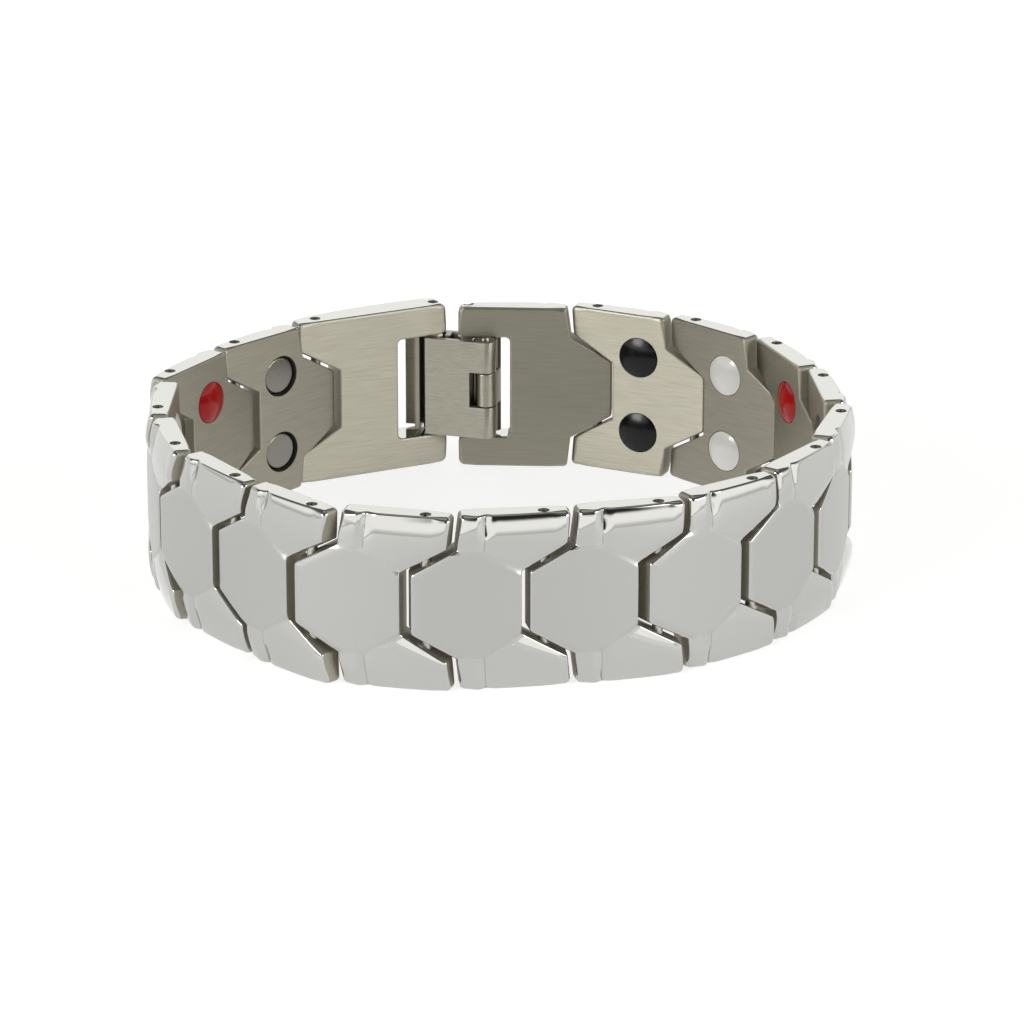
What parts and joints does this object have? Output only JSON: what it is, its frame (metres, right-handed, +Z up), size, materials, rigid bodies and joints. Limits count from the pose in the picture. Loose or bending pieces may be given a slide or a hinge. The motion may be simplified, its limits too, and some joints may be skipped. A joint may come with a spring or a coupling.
{
  "type": "magnetic link bracelet",
  "caption": "Closed steel link bracelet with hexagonal interlocking links, round magnet inserts inside and a fold-over clasp, standing on its edge.",
  "frame": {"origin": "centre of the ring's outline at the floor, under the lower rims of the links", "axes": "+Z up along the axis of the ring; the clasp is at +Y and its lever points along -X"},
  "size_m": [0.069, 0.0664, 0.017],
  "materials": {
    "link_steel": "satin hexagons, mirror-polished wings and bevels",
    "pin_steel": "turned",
    "clasp_steel": "brushed along the band",
    "disc_steel": "polished",
    "red_dome": "glossy",
    "white_dome": "glossy",
    "black_dome": "glossy"
  },
  "bodies": {
    "band": {"link_01": "link_steel", "link_02": "link_steel", "link_03": "link_steel", "link_04": "link_steel", "link_05": "link_steel", "link_06": "link_steel", "link_07": "link_steel", "link_08": "link_steel", "link_09": "link_steel", "link_10": "link_steel", "link_11": "link_steel", "link_12": "link_steel", "link_13": "link_steel", "link_14": "link_steel", "link_15": "link_steel", "link_16": "link_steel", "magnet_01": "disc_steel", "magnet_02": "red_dome", "magnet_03": "white_dome", "magnet_04": "black_dome", "magnet_05": "disc_steel", "magnet_06": "red_dome", "magnet_07": "white_dome", "magnet_08": "black_dome", "magnet_09": "disc_steel", "magnet_10": "red_dome", "magnet_11": "white_dome", "magnet_12": "black_dome", "magnet_13": "disc_steel", "magnet_14": "red_dome", "magnet_15": "white_dome", "magnet_16": "black_dome", "hinge_pin_00": "pin_steel", "hinge_pin_01": "pin_steel", "hinge_pin_02": "pin_steel", "hinge_pin_03": "pin_steel", "hinge_pin_04": "pin_steel", "hinge_pin_05": "pin_steel", "hinge_pin_06": "pin_steel", "hinge_pin_07": "pin_steel", "hinge_pin_08": "pin_steel", "hinge_pin_09": "pin_steel", "hinge_pin_10": "pin_steel", "hinge_pin_11": "pin_steel", "hinge_pin_12": "pin_steel", "hinge_pin_13": "pin_steel", "hinge_pin_14": "pin_steel", "hinge_pin_15": "pin_steel", "hinge_pin_16": "pin_steel", "clasp_end_left": "link_steel", "clasp_end_right": "link_steel", "clasp_pin_left": "pin_steel", "clasp_pin_right": "pin_steel", "clasp_hinge_pin": "pin_steel", "clasp_leaf": "clasp_steel"},
    "lever": {"clasp_lever": "clasp_steel"}
  },
  "joints": [
    {"name": "lever_swing", "type": "hinge", "parent": "band", "child": "lever", "pos_m": [-0.00627, 0.0288, 0.0085], "axis": [0, 0, -1], "range_deg": [0, 55]}
  ]
}
